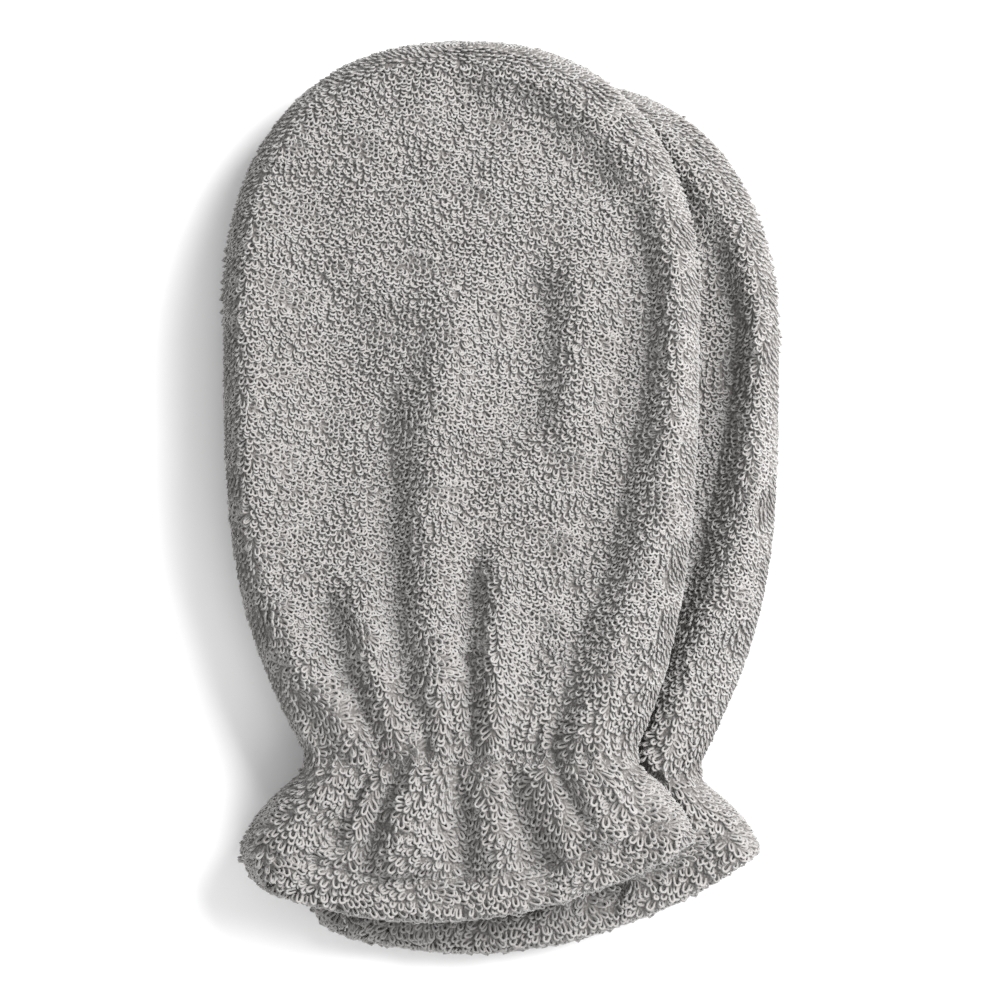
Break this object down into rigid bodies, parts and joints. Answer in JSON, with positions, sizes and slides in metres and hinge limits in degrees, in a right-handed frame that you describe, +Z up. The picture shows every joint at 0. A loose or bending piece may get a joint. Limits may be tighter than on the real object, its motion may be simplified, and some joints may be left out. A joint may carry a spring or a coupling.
{
  "type": "wash mitt",
  "caption": "Pair of terry towelling wash mitts lying one on the other, each gathered at the wrist by elastic above a flared hemmed cuff; a hand slips in to wash or wipe.",
  "frame": {"origin": "under the middle of the pair, on the surface that it lies on", "axes": "+Y from the cuffs to the fingertips, +Z up out of the palms' faces, +X to the right of the pair seen from above"},
  "size_m": [0.162, 0.2616, 0.0308],
  "materials": {
    "towelling": "looped terry pile, matt",
    "elastic": "woven elastic tape, matt",
    "thread": "spun polyester thread"
  },
  "bodies": {
    "lower_back": {"lower_back_panel": "towelling", "lower_back_wrist_elastic": "elastic", "lower_back_elastic_stitching": "thread", "lower_back_hem_stitching": "thread", "lower_side_seam_stitching": "thread"},
    "lower_palm": {"lower_palm_panel": "towelling", "lower_palm_wrist_elastic": "elastic", "lower_palm_elastic_stitching": "thread", "lower_palm_hem_stitching": "thread"},
    "upper_back": {"upper_back_panel": "towelling", "upper_back_wrist_elastic": "elastic", "upper_back_elastic_stitching": "thread", "upper_back_hem_stitching": "thread", "upper_side_seam_stitching": "thread"},
    "upper_palm": {"upper_palm_panel": "towelling", "upper_palm_wrist_elastic": "elastic", "upper_palm_elastic_stitching": "thread", "upper_palm_hem_stitching": "thread"}
  },
  "joints": [
    {"name": "lower_mouth_open", "type": "hinge", "parent": "lower_back", "child": "lower_palm", "pos_m": [0.012, 0.12125, 0.0075], "axis": [-1, 0, 0], "range_deg": [0, 6]},
    {"name": "upper_mitt_lift", "type": "slide", "parent": "lower_palm", "child": "upper_back", "axis": [0, 0, 1], "range_m": [0, 0.08]},
    {"name": "upper_mouth_open", "type": "hinge", "parent": "upper_back", "child": "upper_palm", "pos_m": [-0.012, 0.13075, 0.019], "axis": [-1, 0, 0], "range_deg": [0, 6]}
  ]
}
